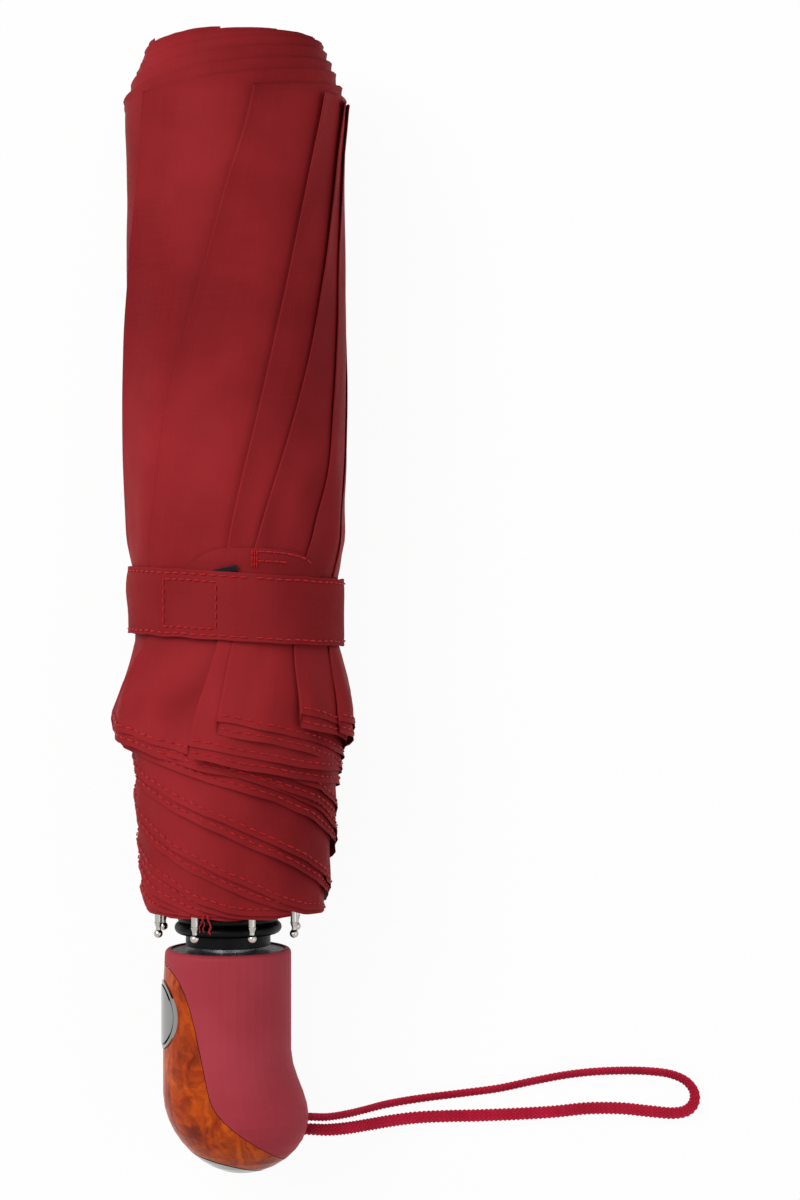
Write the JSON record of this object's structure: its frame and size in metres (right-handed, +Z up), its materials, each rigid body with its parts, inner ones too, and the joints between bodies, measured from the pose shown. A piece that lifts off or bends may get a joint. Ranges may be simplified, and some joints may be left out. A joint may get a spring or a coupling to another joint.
{
  "type": "folding umbrella",
  "caption": "Telescopic pocket umbrella, rolled and strapped, with a contoured handle, push button and wrist loop.",
  "frame": {"origin": "middle of the roll's width and of the umbrella's length, on the surface it lies on", "axes": "+Y along the shaft towards the crown, +Z up, +X to the side the wrist cord leaves"},
  "size_m": [0.1539, 0.2977, 0.0566],
  "materials": {
    "soft_touch": "soft-touch coating",
    "burl_inlay": "lacquered burl look",
    "chrome": "polished",
    "black_plastic": "glossy",
    "frame_steel": "drawn",
    "black_steel": "satin",
    "canopy_fabric": "plain weave with a slight sheen",
    "hook_and_loop": "fuzzy",
    "cord": "braided"
  },
  "bodies": {
    "handle": {"grip_shell": "soft_touch", "grip_inlay": "burl_inlay", "button_bezel": "chrome", "end_medallion": "chrome", "collar": "black_plastic", "core_block": "black_plastic", "lever_pin": "frame_steel", "lower_tube": "frame_steel", "lower_mouth_bush": "black_plastic", "tube_plug": "black_plastic", "tube_pin": "frame_steel", "cord_knot": "cord", "wrist_cord": "cord", "button_springs": "frame_steel", "drive_spring": "frame_steel"},
    "button": {"push_button": "chrome"},
    "lever": {"latch_lever": "frame_steel"},
    "middle": {"middle_tube": "frame_steel", "middle_foot_bush": "black_plastic", "middle_mouth_bush": "black_plastic"},
    "canopy": {"upper_tube": "frame_steel", "upper_foot_bush": "black_plastic", "crown": "black_plastic", "crown_wire": "frame_steel", "crown_cap": "black_plastic", "runner": "black_plastic", "runner_wire": "frame_steel", "stretchers": "frame_steel", "middle_ribs": "black_steel", "lower_knuckles": "frame_steel", "upper_knuckles": "frame_steel", "rib_tips": "chrome", "inner_rib_1": "black_steel", "inner_rib_2": "black_steel", "inner_rib_3": "black_steel", "inner_rib_4": "black_steel", "inner_rib_5": "black_steel", "inner_rib_6": "black_steel", "inner_rib_7": "black_steel", "inner_rib_8": "black_steel", "outer_rib_1": "frame_steel", "outer_rib_2": "frame_steel", "outer_rib_3": "frame_steel", "outer_rib_4": "frame_steel", "outer_rib_5": "frame_steel", "outer_rib_6": "frame_steel", "outer_rib_7": "frame_steel", "outer_rib_8": "frame_steel", "canopy_roll": "canopy_fabric", "canopy_shoulder": "canopy_fabric", "canopy_skirt": "canopy_fabric", "strap_base": "canopy_fabric", "loop_patch": "hook_and_loop"},
    "strap_front": {"strap_front": "canopy_fabric"},
    "strap_tab": {"strap_tab": "canopy_fabric", "hook_patch": "hook_and_loop"}
  },
  "joints": [
    {"name": "button_press", "type": "slide", "parent": "handle", "child": "button", "axis": [0.9781, 0, -0.2079], "range_m": [0, 0.0018], "stiffness_N_per_m": 700, "springref_m": -0.003, "deforming": ["button_springs"]},
    {"name": "latch_tilt", "type": "hinge", "parent": "handle", "child": "lever", "pos_m": [-0.01227, -0.105, 0.02874], "axis": [0.2079, 0, 0.9781], "range_deg": [0, 13]},
    {"name": "shaft_middle", "type": "slide", "parent": "handle", "child": "middle", "axis": [0, 1, 0], "range_m": [0, 0.14], "deforming": ["drive_spring"]},
    {"name": "shaft_top", "type": "slide", "parent": "middle", "child": "canopy", "axis": [0, 1, 0], "range_m": [0, 0.14], "deforming": ["drive_spring"]},
    {"name": "strap_peel", "type": "hinge", "parent": "canopy", "child": "strap_front", "pos_m": [0.02687, -0.0025, 0.0333], "axis": [0, 1, 0], "range_deg": [0, 75]},
    {"name": "tab_peel", "type": "hinge", "parent": "strap_front", "child": "strap_tab", "pos_m": [0.00193, -0.0025, 0.05423], "axis": [0, 1, 0], "range_deg": [0, 60]}
  ],
  "couplings": [
    {"joint": "latch_tilt", "follows": "button_press", "rad_per_m": 125},
    {"joint": "shaft_middle", "follows": "shaft_top", "ratio": 1},
    {"joint": "tab_peel", "follows": "strap_peel", "ratio": 0.8}
  ]
}
